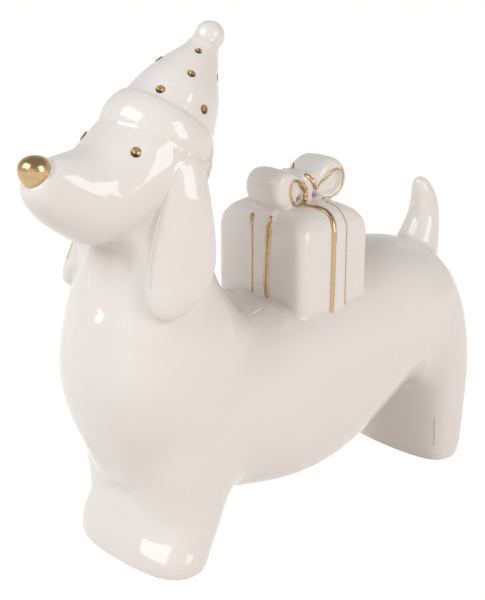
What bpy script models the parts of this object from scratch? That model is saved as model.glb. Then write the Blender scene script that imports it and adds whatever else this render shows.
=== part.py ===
"""A slip-cast porcelain dachshund in a party hat, with a wrapped gift on its back.

Sizes are in metres. The dog looks along -Y, its left side is +X and its soles are at Z = 0.
The body, the head and each small part are cast or pressed by themselves and luted together with slip, then
glazed and gilded, so every one of them is a closed solid here and sits in a seat cut into its neighbour.
"""

import bpy
import bmesh
import math
from mathutils import Matrix, Vector
from mathutils.bvhtree import BVHTree

# Clearances and walls
SEAT_GAP = 0.0003
BODY_WALL = 0.0042
HEAD_WALL = 0.0040
VENT_RADIUS = 0.0018
NECK_BORE_RADIUS = 0.0080
NECK_BORE_REACH = 0.0135
CHEST_FLOOR = 0.040
# Cutters that must pass right through or round the figure are this long
FAR = 0.2

# Body: stance
FRONT_FOOT_Y = -0.065
HIND_FOOT_Y = 0.065
FRONT_FOOT_LENGTH = 0.0228
FRONT_FOOT_WIDTH = 0.0532
HIND_FOOT_LENGTH = 0.0196
HIND_FOOT_WIDTH = 0.0468
SHIN_ASIDE = 0.0125
SHIN_HALF_WIDTH = 0.0118

# Body: trunk
TRUNK_HALF_WIDTH = 0.0275
CHEST_FRONT_Y = -0.088
CHEST_HALF_WIDTH = 0.0280
SADDLE_HEIGHT = 0.0768
RUMP_HEIGHT = 0.0862
RUMP_END_Y = 0.0785
BELLY_HEIGHT = 0.0140

# Head: its middle, from which the neck, nose, eyes, ears and hat take their places
HEAD_Y = -0.07225
HEAD_Z = 0.1285
HEAD_LENGTH = 0.0625
HEAD_HALF_WIDTH = 0.0184
MUZZLE_TIP_Y = HEAD_Y - HEAD_LENGTH / 2
NOSE_RADIUS = 0.00475
NOSE_CENTRE = Vector((0.0, MUZZLE_TIP_Y + 0.0033, HEAD_Z + 0.0042))
EYE_RADIUS = 0.00165
EYE_ASIDE = 0.0120
EYE_Y = HEAD_Y - 0.0010
EYE_Z = HEAD_Z + 0.0071
EYE_DEPTH = 0.0095

NECK_BORE_CENTRE = Vector((0.0, HEAD_Y + 0.0100, HEAD_Z - 0.0150))

# Ears, hanging from under the hat
EAR_Y = HEAD_Y + 0.0140
EAR_TOP_Z = HEAD_Z + 0.0050
EAR_LENGTH = 0.0460
EAR_TIP_Z = EAR_TOP_Z - EAR_LENGTH
EAR_HALF_WIDTH = 0.0111
EAR_HALF_THICKNESS = 0.0043
EAR_TURN = math.radians(13.0)

# Hat
HAT_SEAT = Vector((0.0, HEAD_Y + 0.02295, HEAD_Z + 0.0159))
HAT_LEAN = math.radians(37.0)
HAT_BASE_RADIUS = 0.0146
HAT_HEIGHT = 0.0235
BRIM_RADIUS = 0.0181
BRIM_HEIGHT = 0.0132
BRIM_DROP = 0.0018
BRIM_TILT = math.radians(1.5)
BRIM_THICKNESS = 0.0056
BRIM_LEAN = 0.0006
BRIM_ROLL = 0.0018
POMPOM_RADIUS = 0.0045
POMPOM_RISE = 0.0021

# Gilt dots: height up the hat's axis, degrees round it from the side that faces out, size
DOT_RADIUS = 0.00145
DOT_FACING = math.radians(47.5)
DOTS = (
    (0.0002, -19, 1.00), (0.0016, 42, 1.00), (0.0010, 110, 1.00), (0.0014, 178, 1.00), (0.0008, 255, 1.00),
    (0.0094, 6, 0.90), (0.0143, 76, 0.90), (0.0105, 185, 0.90), (0.0110, 272, 0.90),
    (0.0178, -4, 0.75), (0.0182, 116, 0.75), (0.0176, 236, 0.75),
)
GILT_THICKNESS = 0.0004

# Gift: it stands in the saddle
BOX_WIDTH = 0.0412
BOX_LENGTH = 0.0322
BOX_BASE_Z = SADDLE_HEIGHT - 0.0078
BOX_HEIGHT = 0.0376
BOX_TOP_Z = BOX_BASE_Z + BOX_HEIGHT
BOX_CENTRE_Y = 0.0028
BOX_CORNER_RADIUS = 0.0036
BOX_TOP_ROUNDING = 0.0084
RIBBON_PROUD = 0.0006
RIBBON_SUNK = 0.0007
RIBBON_BASE_Z = BOX_BASE_Z + 0.0007
LONG_RIBBON_WIDTH = 0.0072
LONG_RIBBON_X = 0.0013
CROSS_RIBBON_WIDTH = 0.0058
CROSS_RIBBON_Y = BOX_CENTRE_Y + 0.0014

# Bow: its loops are pressed a little into the top of the gift
BOW_Y = CROSS_RIBBON_Y
BOW_HALF_WIDTH = 0.0076
BOW_LOOP_LENGTH = 0.0158
BOW_SINK = 0.0004
FRONT_LOOP_HEIGHT = 0.0128
BACK_LOOP_HEIGHT = 0.0141
# Open ends of the loops: distance from the knot's middle, height above the gift, half length, half width, lean
FRONT_MOUTH = (-0.0056, 0.0050, 0.0046, 0.0025, math.radians(-66.0))
BACK_MOUTH = (0.0089, 0.0057, 0.0060, 0.0041, math.radians(28.0))
MOUTH_DEPTH = 0.0020
KNOT_LENGTH = 0.0052
KNOT_HALF_WIDTH = 0.0060
KNOT_HEIGHT = 0.0100
KNOT_ROUNDING = 0.0020

# Tail: it springs from the rump
TAIL_ROOT_Y = RUMP_END_Y - 0.0135
TAIL_ROOT_Z = RUMP_HEIGHT - 0.0152
TAIL_ROOT_RADIUS = 0.0095
TAIL_LENGTH = 0.0333

# How the casting and its hollow are melted together, smoothed and thinned out
BODY_VOXEL = 0.0014
BODY_ROUNDS = 14
BODY_FACES = 2900
CORE_VOXEL = 0.0022
CORE_ROUNDS = 6
CORE_FACES = 420

PORCELAIN = (0.86, 0.84, 0.82, 1.0)
GOLD = (0.78, 0.57, 0.24, 1.0)

for leftover in list(bpy.data.objects):
    bpy.data.objects.remove(leftover, do_unlink=True)

pieces = bpy.data.collections.new("porcelain_dog")
cutters = bpy.data.collections.new("seat_cutters")
bpy.context.scene.collection.children.link(pieces)
bpy.context.scene.collection.children.link(cutters)


def material(name, colour, roughness, metallic):
    made = bpy.data.materials.new(name)
    made.use_nodes = True
    shader = made.node_tree.nodes["Principled BSDF"]
    shader.inputs["Base Color"].default_value = colour
    shader.inputs["Roughness"].default_value = roughness
    shader.inputs["Metallic"].default_value = metallic
    return made


glaze = material("glazed_porcelain", PORCELAIN, 0.12, 0.0)
lustre = material("gold_lustre", GOLD, 0.22, 1.0)


def add_object(name, mesh, finish=None):
    """A finished piece where it has a finish, and otherwise a cutter that no view or build shows."""
    added = bpy.data.objects.new(name, mesh)
    if finish is None:
        cutters.objects.link(added)
        added.hide_render = True
        added.display_type = "WIRE"
    else:
        pieces.objects.link(added)
        mesh.materials.append(finish)
    return added


def from_bmesh(name, shape, finish=None):
    bmesh.ops.recalc_face_normals(shape, faces=shape.faces)
    mesh = bpy.data.meshes.new(name)
    shape.to_mesh(mesh)
    shape.free()
    return add_object(name, mesh, finish)


def bake(piece):
    """Turns the modifiers of a piece into its mesh."""
    graph = bpy.context.evaluated_depsgraph_get()
    mesh = bpy.data.meshes.new_from_object(piece.evaluated_get(graph))
    piece.modifiers.clear()
    piece.data = mesh
    return piece


def drop_crumbs(piece):
    """Keeps the largest of the bodies that a cut has left."""
    shape = bmesh.new()
    shape.from_mesh(piece.data)
    waiting = set(shape.verts)
    bodies = []
    while waiting:
        body, reached = set(), [waiting.pop()]
        while reached:
            vertex = reached.pop()
            body.add(vertex)
            linked = {edge.other_vert(vertex) for edge in vertex.link_edges} & waiting
            waiting -= linked
            reached += linked
        bodies.append(body)
    bodies.sort(key=len)
    bmesh.ops.delete(shape, geom=[vertex for body in bodies[:-1] for vertex in body], context="VERTS")
    shape.to_mesh(piece.data)
    shape.free()


def cut(piece, *tools):
    """Takes all the tools out of the piece at once."""
    together = bpy.data.collections.new(piece.name + "_tools")
    for tool in tools:
        together.objects.link(tool)
    seats = piece.modifiers.new("seats", "BOOLEAN")
    seats.operation = "DIFFERENCE"
    seats.operand_type = "COLLECTION"
    seats.collection = together
    bake(piece)
    bpy.data.collections.remove(together)
    drop_crumbs(piece)
    return piece


def curve_point(t, a, b, c, d):
    """A share t of the way from b to c, on a smooth curve through a, b, c and d."""
    bend = (2 * a - 5 * b + 4 * c - d) * t ** 2 + (3 * b - a - 3 * c + d) * t ** 3
    return 0.5 * (2 * b + (c - a) * t + bend)


def smooth_rows(rows, between):
    """Rows on smooth curves through the given rows, with some more between each two of them."""
    padded = [rows[0]] + list(rows) + [rows[-1]]
    made = []
    for before, start, end, after in zip(padded, padded[1:], padded[2:], padded[3:]):
        for step in range(between + 1):
            t = step / (between + 1)
            made.append([curve_point(t, *values) for values in zip(before, start, end, after)])
    made.append(list(rows[-1]))
    return made


def rounded(angle, power):
    """A point on the unit superellipse: power 2 is a circle, and more is squarer."""
    c, s = math.cos(angle), math.sin(angle)
    return math.copysign(abs(c) ** (2 / power), c), math.copysign(abs(s) ** (2 / power), s)


def ring(centre, across, along, half_across, half_along, power, points):
    outline = []
    for i in range(points):
        a, b = rounded(2 * math.pi * (i + 0.5) / points, power)
        outline.append(centre + across * (half_across * a) + along * (half_along * b))
    return outline


def loft(name, rings, finish=None):
    """A closed skin over rings with the same number of points."""
    shape = bmesh.new()
    loops = [[shape.verts.new(point) for point in points] for points in rings]
    count = len(rings[0])
    for lower, upper in zip(loops, loops[1:]):
        for i in range(count):
            j = (i + 1) % count
            shape.faces.new((lower[i], lower[j], upper[j], upper[i]))
    shape.faces.new(reversed(loops[0]))
    shape.faces.new(loops[-1])
    return from_bmesh(name, shape, finish)


X, Y, Z = Vector((1, 0, 0)), Vector((0, 1, 0)), Vector((0, 0, 1))


def trunk_rings(inset, points):
    """Sections of the trunk across Y: place, underside, top, half width, squareness."""
    w = TRUNK_HALF_WIDTH
    rows = [
        (-0.072, 0.042, 0.080, 0.75 * w, 2.2),
        (-0.056, 0.025, 0.084, 0.93 * w, 2.3),
        (-0.041, BELLY_HEIGHT + 0.003, 0.081, 0.96 * w, 2.4),
        (-0.026, BELLY_HEIGHT, SADDLE_HEIGHT - 0.0005, 0.98 * w, 2.6),
        (-0.012, BELLY_HEIGHT, SADDLE_HEIGHT - 0.0003, w, 3.3),
        (0.002, BELLY_HEIGHT + 0.0012, SADDLE_HEIGHT + 0.0002, w, 3.3),
        (0.016, BELLY_HEIGHT + 0.0040, SADDLE_HEIGHT + 0.0040, w, 2.9),
        (0.030, BELLY_HEIGHT + 0.0085, RUMP_HEIGHT - 0.001, w, 2.3),
        (0.043, BELLY_HEIGHT + 0.0160, RUMP_HEIGHT, w, 2.2),
        (RUMP_END_Y - 0.0225, BELLY_HEIGHT + 0.0200, RUMP_HEIGHT - 0.002, 0.93 * w, 2.1),
        (RUMP_END_Y - 0.0130, BELLY_HEIGHT + 0.0230, RUMP_HEIGHT - 0.006, 0.82 * w, 2.1),
        (RUMP_END_Y - 0.0065, BELLY_HEIGHT + 0.0270, RUMP_HEIGHT - 0.012, 0.66 * w, 2.1),
        (RUMP_END_Y - 0.0018, BELLY_HEIGHT + 0.0330, RUMP_HEIGHT - 0.020, 0.44 * w, 2.1),
        (RUMP_END_Y, BELLY_HEIGHT + 0.0390, RUMP_HEIGHT - 0.028, 0.20 * w, 2.0),
    ]
    made = []
    for y, low, high, half, power in smooth_rows(rows, 1):
        if inset and not rows[1][0] < y < RUMP_END_Y - inset:
            continue
        centre = Vector((0, y, (low + high) / 2))
        made.append(ring(centre, X, Z, half - inset, (high - low) / 2 - inset, power, points))
    return made


def column_rings(rows, inset, points, lowest=-1.0, between=1, aside=0.0):
    """Sections across Z: height, front, back, half width, squareness."""
    made = []
    for z, front, back, half, power in smooth_rows(rows, between):
        if z < lowest:
            continue
        centre = Vector((aside, (front + back) / 2, z))
        made.append(ring(centre, X, Y, half - inset, (back - front) / 2 - inset, power, points))
    return made


def chest_rows():
    """Chest and neck, from between the forelegs up into the head."""
    front, w = CHEST_FRONT_Y, CHEST_HALF_WIDTH
    return [
        (0.027, front + 0.018, -0.052, 0.50 * w, 2.1),
        (0.032, front + 0.012, -0.048, 0.68 * w, 2.1),
        (0.040, front + 0.0065, -0.044, 0.84 * w, 2.1),
        (0.050, front + 0.003, -0.040, 0.95 * w, 2.1),
        (0.060, front + 0.0005, -0.036, w, 2.1),
        (0.068, front, -0.032, w, 2.1),
        (0.078, front + 0.0012, -0.029, 0.96 * w, 2.1),
        (0.088, front + 0.0040, -0.038, 0.87 * w, 2.1),
        (0.098, front + 0.0080, -0.042, 0.76 * w, 2.1),
        (HEAD_Z - 0.0205, front + 0.0120, -0.0425, 0.66 * w, 2.1),
        (HEAD_Z - 0.0105, front + 0.0160, -0.0425, 0.58 * w, 2.1),
        (HEAD_Z - 0.0025, front + 0.0200, -0.0445, 0.48 * w, 2.0),
    ]


def foreleg_rows():
    """The two forelegs are cast as one slab, which widens upwards and backwards into the shoulders."""
    front, back = FRONT_FOOT_Y - FRONT_FOOT_LENGTH / 2, FRONT_FOOT_Y + FRONT_FOOT_LENGTH / 2
    w = FRONT_FOOT_WIDTH / 2
    return [
        (-0.004, front + 0.0025, back - 0.0025, w - 0.0025, 2.6),
        (0.000, front + 0.0010, back, w - 0.0008, 2.8),
        (0.004, front, back + 0.0013, w, 2.8),
        (0.009, front + 0.0002, back + 0.0051, w - 0.0002, 2.8),
        (0.014, front + 0.0016, back + 0.0092, w - 0.0012, 2.7),
        (0.020, front + 0.0040, back + 0.0132, w - 0.0022, 2.6),
        (0.026, front + 0.0050, back + 0.0180, w - 0.0012, 2.6),
        (0.033, front + 0.0060, back + 0.0210, w - 0.0006, 2.5),
        (0.043, front + 0.0060, back + 0.0222, w + 0.0004, 2.5),
        (0.054, front + 0.0080, back + 0.0206, w - 0.0010, 2.4),
        (0.062, front + 0.0120, back + 0.0150, w - 0.0060, 2.3),
    ]


def shin_rows():
    """The front of each foreleg, which leaves a shallow hollow between the two under the chest."""
    front = FRONT_FOOT_Y - FRONT_FOOT_LENGTH / 2
    back = FRONT_FOOT_Y + FRONT_FOOT_LENGTH / 2
    return [
        (0.004, front + 0.0030, back, SHIN_HALF_WIDTH - 0.0012, 2.2),
        (0.010, front + 0.0036, back, SHIN_HALF_WIDTH - 0.0008, 2.2),
        (0.018, front + 0.0046, back, SHIN_HALF_WIDTH - 0.0004, 2.2),
        (0.028, front + 0.0030, back, SHIN_HALF_WIDTH, 2.2),
        (0.036, front + 0.0014, back, SHIN_HALF_WIDTH + 0.0002, 2.2),
        (0.046, front + 0.0008, back, SHIN_HALF_WIDTH, 2.2),
        (0.056, front + 0.0020, back, SHIN_HALF_WIDTH - 0.0010, 2.2),
    ]


def hind_leg_rows():
    """The hind legs are one slab as well, squarer than the front one."""
    front, back = HIND_FOOT_Y - HIND_FOOT_LENGTH / 2, HIND_FOOT_Y + HIND_FOOT_LENGTH / 2
    w = HIND_FOOT_WIDTH / 2
    return [
        (-0.004, front + 0.0025, back - 0.0025, w - 0.0025, 3.2),
        (0.000, front + 0.0010, back - 0.0008, w - 0.0010, 3.3),
        (0.004, front, back + 0.0002, w, 3.4),
        (0.010, front + 0.0003, back + 0.0010, w + 0.0003, 3.3),
        (0.018, front + 0.0002, back + 0.0016, w + 0.0006, 3.1),
        (0.028, front - 0.0015, back + 0.0032, w + 0.0010, 2.9),
        (0.038, front - 0.0050, back + 0.0040, w + 0.0016, 2.7),
        (0.048, front - 0.0085, back + 0.0036, w + 0.0020, 2.5),
        (0.058, front - 0.0105, back + 0.0020, w + 0.0014, 2.4),
        (0.067, front - 0.0090, back - 0.0010, w - 0.0010, 2.3),
        (0.073, front - 0.0040, back - 0.0050, w - 0.0060, 2.2),
    ]


def join(name, shapes, finish=None):
    """One object with the meshes of all the shapes, which are taken away."""
    shape = bmesh.new()
    for other in shapes:
        shape.from_mesh(other.data)
        bpy.data.objects.remove(other)
    mesh = bpy.data.meshes.new(name)
    shape.to_mesh(mesh)
    shape.free()
    return add_object(name, mesh, finish)


def soften(piece, voxel, rounds):
    """Melts overlapping forms into one skin with soft fillets."""
    melt = piece.modifiers.new("melt", "REMESH")
    melt.mode = "VOXEL"
    melt.voxel_size = voxel
    relax = piece.modifiers.new("relax", "SMOOTH")
    relax.factor = 0.5
    relax.iterations = rounds
    return bake(piece)


def thin_out(piece, triangles):
    """Leaves about this many faces, the same on the left as on the right."""
    thin = piece.modifiers.new("thin", "DECIMATE")
    thin.ratio = min(1.0, triangles / (2.0 * len(piece.data.polygons)))
    thin.use_collapse_triangulate = True
    mirror = piece.modifiers.new("mirror", "MIRROR")
    mirror.use_bisect_axis[0] = True
    mirror.use_bisect_flip_axis[0] = True
    mirror.merge_threshold = 0.0001
    return bake(piece)


def ball(name, centre, radius, segments, rings, finish=None):
    shape = bmesh.new()
    bmesh.ops.create_uvsphere(shape, u_segments=segments, v_segments=rings, radius=radius)
    bmesh.ops.translate(shape, vec=centre, verts=shape.verts)
    return from_bmesh(name, shape, finish)


def slab(name, low, high, bevel=0.0, finish=None):
    """A box between two corners, with all its edges rounded where a bevel is given."""
    shape = bmesh.new()
    bmesh.ops.create_cube(shape, size=1.0)
    size = Vector(high) - Vector(low)
    place = Matrix.Translation((Vector(low) + Vector(high)) / 2) @ Matrix.Diagonal((*size, 1.0))
    bmesh.ops.transform(shape, matrix=place, verts=shape.verts)
    made = from_bmesh(name, shape, finish)
    if bevel:
        edge = made.modifiers.new("edge", "BEVEL")
        edge.width = bevel
        edge.segments = 3
        edge.limit_method = "NONE"
        bake(made)
    return made


def turned(name, profile, to_place, steps=32, closed=False, finish=None):
    """A profile of (radius, height) points turned round its own Z and then placed."""
    mesh = bpy.data.meshes.new(name)
    edges = [(i, i + 1) for i in range(len(profile) - 1)]
    if closed:
        edges.append((len(profile) - 1, 0))
    mesh.from_pydata([(r, 0, h) for r, h in profile], edges, [])
    made = add_object(name, mesh)
    screw = made.modifiers.new("turn", "SCREW")
    screw.steps = steps
    screw.render_steps = steps
    screw.use_merge_vertices = True
    screw.merge_threshold = 0.00001
    bake(made)
    shape = bmesh.new()
    shape.from_mesh(made.data)
    bpy.data.objects.remove(made)
    bmesh.ops.remove_doubles(shape, verts=shape.verts, dist=0.00001)
    bmesh.ops.transform(shape, matrix=to_place, verts=shape.verts)
    return from_bmesh(name, shape, finish)


def rod(name, radius, centre, reach, steps):
    """An upright round cutter that reaches as far above its centre as below it."""
    profile = [(0, -reach), (radius, -reach), (radius, reach), (0, reach)]
    return turned(name, profile, Matrix.Translation(centre), steps=steps)


# The hat's own frame: its height runs up the leaning axis from the crease between cone and brim
HAT_FRAME = Matrix.Translation(HAT_SEAT) @ Matrix.Rotation(-HAT_LEAN, 4, "X")
BRIM_FRAME = Matrix.Translation(HAT_SEAT) @ Matrix.Rotation(-HAT_LEAN - BRIM_TILT, 4, "X")


def head_form(name, grow, points=20, between=1, finish=None):
    """Sections of the head across Y: place, jaw and crown from its middle height, half width."""
    w = HEAD_HALF_WIDTH
    tip = MUZZLE_TIP_Y
    rows = [
        (tip, -0.0035, 0.0015, 0.12 * w),
        (tip + 0.0010, -0.0057, 0.0032, 0.24 * w),
        (tip + 0.0030, -0.0085, 0.0048, 0.37 * w),
        (tip + 0.0065, -0.0122, 0.0062, 0.50 * w),
        (tip + 0.0115, -0.0160, 0.0071, 0.63 * w),
        (tip + 0.0170, -0.0195, 0.0075, 0.74 * w),
        (tip + 0.0230, -0.0209, 0.0087, 0.84 * w),
        (tip + 0.0290, -0.0207, 0.0127, 0.92 * w),
        (tip + 0.0350, -0.0193, 0.0171, 0.98 * w),
        (tip + 0.0420, -0.0173, 0.0203, w),
        (tip + 0.0490, -0.0155, 0.0210, 0.95 * w),
        (tip + 0.0560, -0.0130, 0.0185, 0.82 * w),
        (tip + 0.0605, -0.0095, 0.0135, 0.62 * w),
        (tip + HEAD_LENGTH, -0.0060, 0.0080, 0.36 * w),
    ]
    made = []
    for y, low, high, half in smooth_rows(rows, between):
        if half + grow < 0.3 * half:
            continue
        centre = Vector((0, y, HEAD_Z + (low + high) / 2))
        made.append(ring(centre, X, Z, half + grow, (high - low) / 2 + grow, 2.05, points))
    if grow > 0:
        for end, shift in ((made[0], -grow), (made[-1], grow)):
            for point in end:
                point.y += shift
    return loft(name, made, finish)


def ear_form(name, side, grow, finish=None):
    """Sections of an ear across Z: height, middle (out from the head's side, back from EAR_Y), half sizes."""
    w, t = EAR_HALF_WIDTH, EAR_HALF_THICKNESS
    rows = [
        (EAR_TOP_Z + 0.0010, -0.0034, 0.0000, 0.34 * w, 0.50 * t),
        (EAR_TOP_Z - 0.0020, -0.0022, -0.0006, 0.54 * w, 0.76 * t),
        (EAR_TOP_Z - 0.0070, -0.0012, -0.0012, 0.66 * w, 0.95 * t),
        (EAR_TOP_Z - 0.0150, 0.0002, -0.0021, 0.76 * w, t),
        (EAR_TOP_Z - 0.0250, 0.0016, -0.0040, 0.94 * w, t),
        (EAR_TOP_Z - 0.0340, 0.0029, -0.0063, w, t),
        (EAR_TIP_Z + 0.0060, 0.0041, -0.0093, 0.82 * w, t),
        (EAR_TIP_Z + 0.0020, 0.0047, -0.0118, 0.50 * w, 0.78 * t),
        (EAR_TIP_Z, 0.0049, -0.0132, 0.18 * w, 0.40 * t),
    ]
    along = Vector((side * math.sin(EAR_TURN), math.cos(EAR_TURN), 0))
    across = Vector((math.cos(EAR_TURN), -side * math.sin(EAR_TURN), 0))
    made = []
    for z, out, back, half, thick in smooth_rows(rows, 1):
        centre = Vector((side * (HEAD_HALF_WIDTH + out), EAR_Y + back, z))
        made.append(ring(centre, across, along, thick + grow, half + grow, 2.2, 16))
    if grow:
        for end, shift in ((made[0], grow), (made[-1], -grow)):
            for point in end:
                point.z += shift
    return loft(name, made, finish)


def tail_form(name, grow, finish=None):
    """Round sections square to the tail's curve: place behind its root, height above it, radius."""
    r = TAIL_ROOT_RADIUS
    rows = [
        (0.0000, 0.0000, r),
        (0.0022, 0.0065, 0.88 * r),
        (0.0044, 0.0125, 0.74 * r),
        (0.0058, 0.0180, 0.62 * r),
        (0.0058, 0.0235, 0.53 * r),
        (0.0045, 0.0282, 0.41 * r),
        (0.0031, TAIL_LENGTH - 0.0018, 0.28 * r),
        (0.0025, TAIL_LENGTH, 0.08 * r),
    ]
    path = smooth_rows(rows, 1)
    made = []
    for i, (y, z, radius) in enumerate(path):
        before, after = path[max(i - 1, 0)], path[min(i + 1, len(path) - 1)]
        up = Vector((0, after[0] - before[0], after[1] - before[1])).normalized()
        reach = {0: -grow, len(path) - 1: grow}.get(i, 0)
        centre = Vector((0, TAIL_ROOT_Y + y, TAIL_ROOT_Z + z)) + up * reach
        made.append(ring(centre, X, X.cross(up), radius + grow, radius + grow, 2.0, 18))
    return loft(name, made, finish)


def cone_form(name, grow, finish=None):
    r, h = HAT_BASE_RADIUS, HAT_HEIGHT
    rows = [
        (-0.0030, r + 0.0003),
        (0.0000, r - 0.0002),
        (0.0020, r - 0.0007),
        (0.21 * h, 0.895 * r),
        (0.35 * h, 0.800 * r),
        (0.48 * h, 0.685 * r),
        (0.61 * h, 0.575 * r),
        (0.74 * h, 0.460 * r),
        (0.87 * h, 0.345 * r),
        (h, 0.270 * r),
    ]
    side = [(radius + grow, height) for height, radius in smooth_rows(rows, 0)]
    profile = [(0, rows[0][0] - grow)] + side + [(0, h)]
    return turned(name, profile, HAT_FRAME, steps=26, finish=finish)


def brim_form(name, grow, finish=None):
    """A rolled band: a squarish oval section that leans in at the top, turned round the hat's axis."""
    half_t, half_h = BRIM_THICKNESS / 2, BRIM_HEIGHT / 2
    middle = BRIM_RADIUS - half_t
    profile = []
    for i in range(12):
        a, b = rounded(2 * math.pi * i / 12, 2.3)
        height = b * (half_h + grow)
        lean = BRIM_LEAN * (height / half_h) + BRIM_ROLL * max(height / half_h, 0) ** 2
        profile.append((middle + a * (half_t + grow) - lean, height - half_h - BRIM_DROP))
    return turned(name, profile, BRIM_FRAME, steps=26, closed=True, finish=finish)


def rounded_rectangle(centre, half_x, half_y, radius):
    """Five points round each corner, the first corner at +X +Y."""
    outline = []
    for quarter in range(4):
        sign_x, sign_y = ((1, 1), (-1, 1), (-1, -1), (1, -1))[quarter]
        corner = centre + Vector((sign_x * (half_x - radius), sign_y * (half_y - radius), 0))
        for step in range(5):
            angle = math.pi / 2 * (quarter + step / 4)
            outline.append(corner + Vector((math.cos(angle), math.sin(angle), 0)) * radius)
    return outline


def box_form(name, grow, finish=None):
    """Straight sides with rounded corners, and a lid that rolls over into a flat top."""
    half_x, half_y = BOX_WIDTH / 2 + grow, BOX_LENGTH / 2 + grow
    top, roll = BOX_TOP_Z + grow, BOX_TOP_ROUNDING
    levels = [(BOX_BASE_Z - grow, 0.0)]
    for step in range(5):
        angle = math.pi / 2 * step / 4
        levels.append((top - roll * (1 - math.sin(angle)), roll * (1 - math.cos(angle))))
    made = []
    for z, inset in levels:
        centre = Vector((0, BOX_CENTRE_Y, z))
        corner = BOX_CORNER_RADIUS + grow + 0.2 * inset
        made.append(rounded_rectangle(centre, half_x - inset, half_y - inset, corner))
    return loft(name, made, finish)


def ribbon_form(name, grow, side, finish=None):
    """A flat band half sunk into the box: side 0 runs fore and aft over the top, 1 and -1 come up to it."""
    made = box_form(name, RIBBON_PROUD + grow, finish)
    if side == 0:
        half = LONG_RIBBON_WIDTH / 2 + grow
        low = Vector((LONG_RIBBON_X - half, -FAR, RIBBON_BASE_Z - grow))
        high = Vector((LONG_RIBBON_X + half, FAR, FAR))
    else:
        half = CROSS_RIBBON_WIDTH / 2 + grow
        near = LONG_RIBBON_X + side * (LONG_RIBBON_WIDTH / 2 + SEAT_GAP - grow)
        far = side * FAR
        low = Vector((min(near, far), CROSS_RIBBON_Y - half, RIBBON_BASE_Z - grow))
        high = Vector((max(near, far), CROSS_RIBBON_Y + half, FAR))
    keep = slab(name + "_width", low, high)
    band = made.modifiers.new("width", "BOOLEAN")
    band.operation = "INTERSECT"
    band.object = keep
    bake(made)
    core = box_form(name + "_core", -RIBBON_SUNK - grow)
    for vertex in core.data.vertices:
        if vertex.co.z < (BOX_BASE_Z + BOX_TOP_Z) / 2:
            vertex.co.z -= BOX_LENGTH
    return cut(made, core)


def loop_height(direction):
    return FRONT_LOOP_HEIGHT if direction < 0 else BACK_LOOP_HEIGHT


def teardrop(angle, direction):
    """A loop's outline from the side, one long: round at the far end and drawn in at the knot."""
    along = (1 + math.cos(angle)) / 2
    drawn_in = 0.55 if direction < 0 else 0.38
    return along, math.sin(angle) * (1 - drawn_in * (1 - along) ** 1.6)


def loop_outline(x, direction, scale, stretch, points):
    start = BOW_Y + direction * (KNOT_LENGTH / 2 - 0.0012)
    half_height = loop_height(direction) / 2
    tallest = max(teardrop(math.radians(turn), direction)[1] for turn in range(180))
    middle_z = BOX_TOP_Z + half_height - BOW_SINK
    middle = 0.55 * BOW_LOOP_LENGTH
    outline = []
    for i in range(points):
        along, up = teardrop(2 * math.pi * (i + 0.5) / points, direction)
        y = start + direction * ((along * BOW_LOOP_LENGTH - middle) * scale * stretch + middle)
        outline.append(Vector((x, y, middle_z + half_height * up / tallest * scale * stretch)))
    return outline


def loop_form(name, direction, grow, finish=None):
    """One loop of the bow: a ribbon's width in X, plump, lying fore or aft of the knot."""
    sections = [(-1.0, 0.74), (-0.92, 0.87), (-0.74, 0.96), (-0.35, 1.0)]
    sections += [(-x, scale) for x, scale in reversed(sections)]
    stretch = 1 + grow / (loop_height(direction) / 2)
    width = BOW_HALF_WIDTH + grow
    made = [loop_outline(x * width, direction, scale, stretch, 20) for x, scale in sections]
    return loft(name, made, finish)


def mouth_form(name, side, place, height, half_length, half_width, lean):
    """The hollow in the open end of a loop, an oval that leans towards the knot and narrows inwards."""
    along = Vector((0, math.cos(lean), math.sin(lean)))
    made = []
    for reach, scale in ((-0.0010, 1.10), (0.40 * MOUTH_DEPTH, 1.0), (MOUTH_DEPTH, 0.72)):
        centre = Vector((side * (BOW_HALF_WIDTH - reach), BOW_Y + place, BOX_TOP_Z + height))
        made.append(ring(centre, along, X.cross(along), half_length * scale, half_width * scale, 2.3, 14))
    return loft(name, made)


def knot_form(name, grow, finish=None):
    half_width, half_length = KNOT_HALF_WIDTH + grow, KNOT_LENGTH / 2 + grow
    low = (-half_width, BOW_Y - half_length, BOX_TOP_Z - grow)
    high = (half_width, BOW_Y + half_length, BOX_TOP_Z + KNOT_HEIGHT + grow)
    return slab(name, low, high, KNOT_ROUNDING + grow, finish)


def on_skin(piece, inside, direction):
    """Where a line from inside the piece comes out through its skin, and the skin's normal there."""
    tree = BVHTree.FromObject(piece, bpy.context.evaluated_depsgraph_get())
    place, normal, _, _ = tree.ray_cast(inside, direction)
    return place, normal


def inlay(name, place, normal, radius):
    """A dished gilt spot and the cutter for the dimple that it lies in."""
    to_place = Matrix.Translation(place) @ normal.to_track_quat("Z", "Y").to_matrix().to_4x4()
    depth = 0.42 * radius
    under = GILT_THICKNESS
    dish = [(0, -depth - under), (0.60 * radius, -0.72 * depth - under), (radius, -under), (radius, 0),
            (0.62 * radius, -0.66 * depth), (0, -depth)]
    spot = turned(name, dish, to_place, steps=10, finish=lustre)
    wide = radius + SEAT_GAP
    deep = SEAT_GAP + under
    dimple = [(0, -depth - deep), (0.60 * wide, -0.72 * depth - deep), (wide, -deep),
              (wide + 0.0003, 0.0015), (0, 0.0015)]
    return spot, turned(name + "_dimple", dimple, to_place, steps=10)


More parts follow.
